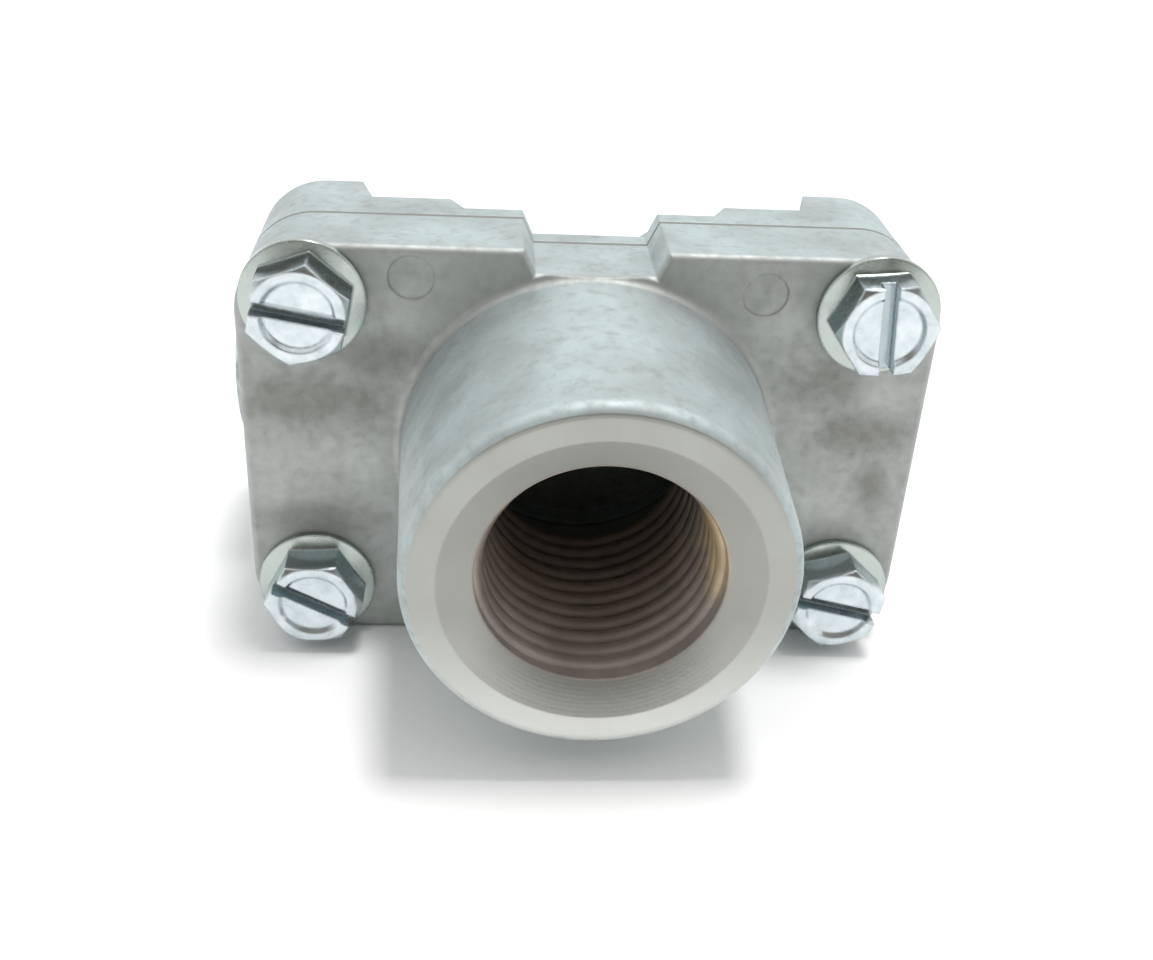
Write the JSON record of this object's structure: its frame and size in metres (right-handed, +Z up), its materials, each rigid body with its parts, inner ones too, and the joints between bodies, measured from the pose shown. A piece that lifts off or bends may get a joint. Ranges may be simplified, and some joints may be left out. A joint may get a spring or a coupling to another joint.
{
  "type": "flow splitter valve",
  "caption": "Small die-cast pneumatic valve that takes air at a round front port and shares it equally between rear ports, with a sliding spool centred by springs in a ported sleeve.",
  "frame": {"origin": "on the inlet's axis, in the plane of the cover's front face", "axes": "-Y out of the inlet, towards the front; +X to the right, along the spool; +Z up"},
  "size_m": [0.0672, 0.0615, 0.0399],
  "materials": {
    "cast_aluminium": "die-cast, dull and a little stained",
    "gasket_sheet": "matt fibre and rubber sheet",
    "nitrile_rubber": "moulded",
    "zinc_plated_steel": "blue-white zinc plating",
    "plug_steel": "turned and zinc plated",
    "turned_brass": "turned",
    "spring_steel": "drawn wire",
    "sleeve_steel": "turned and honed",
    "ground_steel": "ground and lapped"
  },
  "bodies": {
    "valve_body": {"front_cover": "cast_aluminium", "cover_gasket": "gasket_sheet", "rear_body": "cast_aluminium", "cover_screw_upper_left": "zinc_plated_steel", "cover_screw_upper_right": "zinc_plated_steel", "cover_screw_lower_left": "zinc_plated_steel", "cover_screw_lower_right": "zinc_plated_steel", "spool_sleeve": "sleeve_steel", "sleeve_seal_inner_left": "nitrile_rubber", "sleeve_seal_inner_right": "nitrile_rubber", "sleeve_seal_outer_left": "nitrile_rubber", "sleeve_seal_outer_right": "nitrile_rubber", "centring_spring_left": "spring_steel", "centring_spring_right": "spring_steel", "spring_seat_left": "plug_steel", "spring_seat_right": "plug_steel", "end_plug_left": "plug_steel", "end_plug_right": "plug_steel", "plug_seal_left": "nitrile_rubber", "plug_seal_right": "nitrile_rubber"},
    "spool": {"flow_spool": "ground_steel", "orifice_insert_left": "turned_brass", "orifice_insert_right": "turned_brass"}
  },
  "joints": [
    {"name": "spool_slide", "type": "slide", "parent": "valve_body", "child": "spool", "axis": [1, 0, 0], "range_m": [-0.0025, 0.0025], "stiffness_N_per_m": 1950, "deforming": ["centring_spring_left", "centring_spring_right"]}
  ]
}
